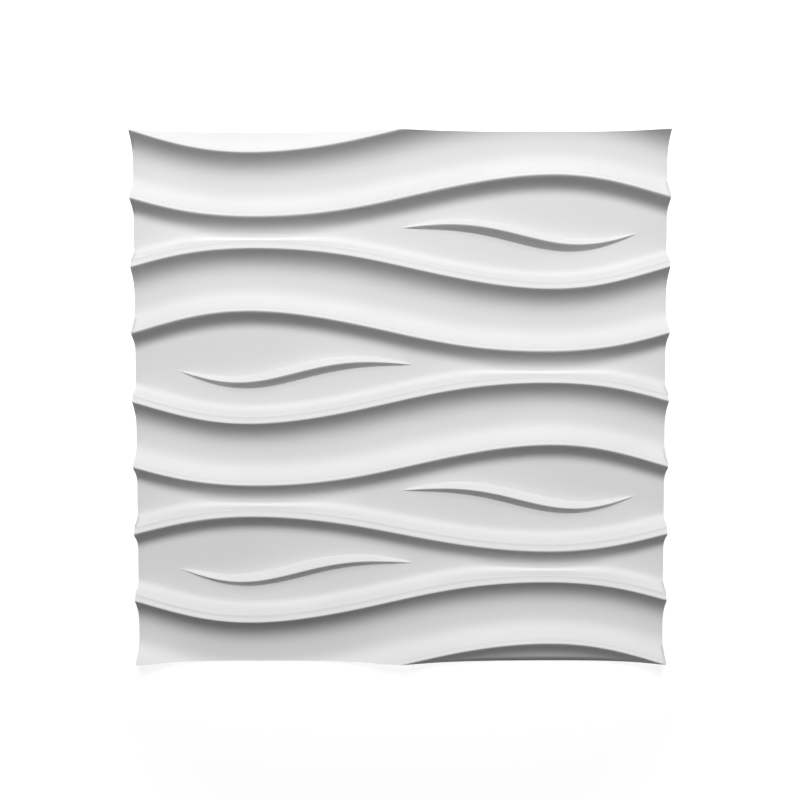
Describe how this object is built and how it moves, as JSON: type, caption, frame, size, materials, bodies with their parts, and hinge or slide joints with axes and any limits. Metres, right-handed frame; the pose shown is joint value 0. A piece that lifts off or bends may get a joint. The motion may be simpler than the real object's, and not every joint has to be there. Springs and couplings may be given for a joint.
{
  "type": "3d wall panel tile",
  "caption": "Square thin-moulded wall tile whose face has waves with narrow-lipped crests that part round flat eyes, each with a raised S-shaped vein; hollow back.",
  "frame": {"origin": "centre of the tile's footprint, on the plane that its back lies on", "axes": "+X across the tile's width, +Y up the wall when it is hung, +Z out of the relief"},
  "size_m": [0.5, 0.5, 0.018],
  "materials": {
    "panel": "matte"
  },
  "bodies": {
    "root": {"wall_panel": "panel"}
  },
  "joints": []
}
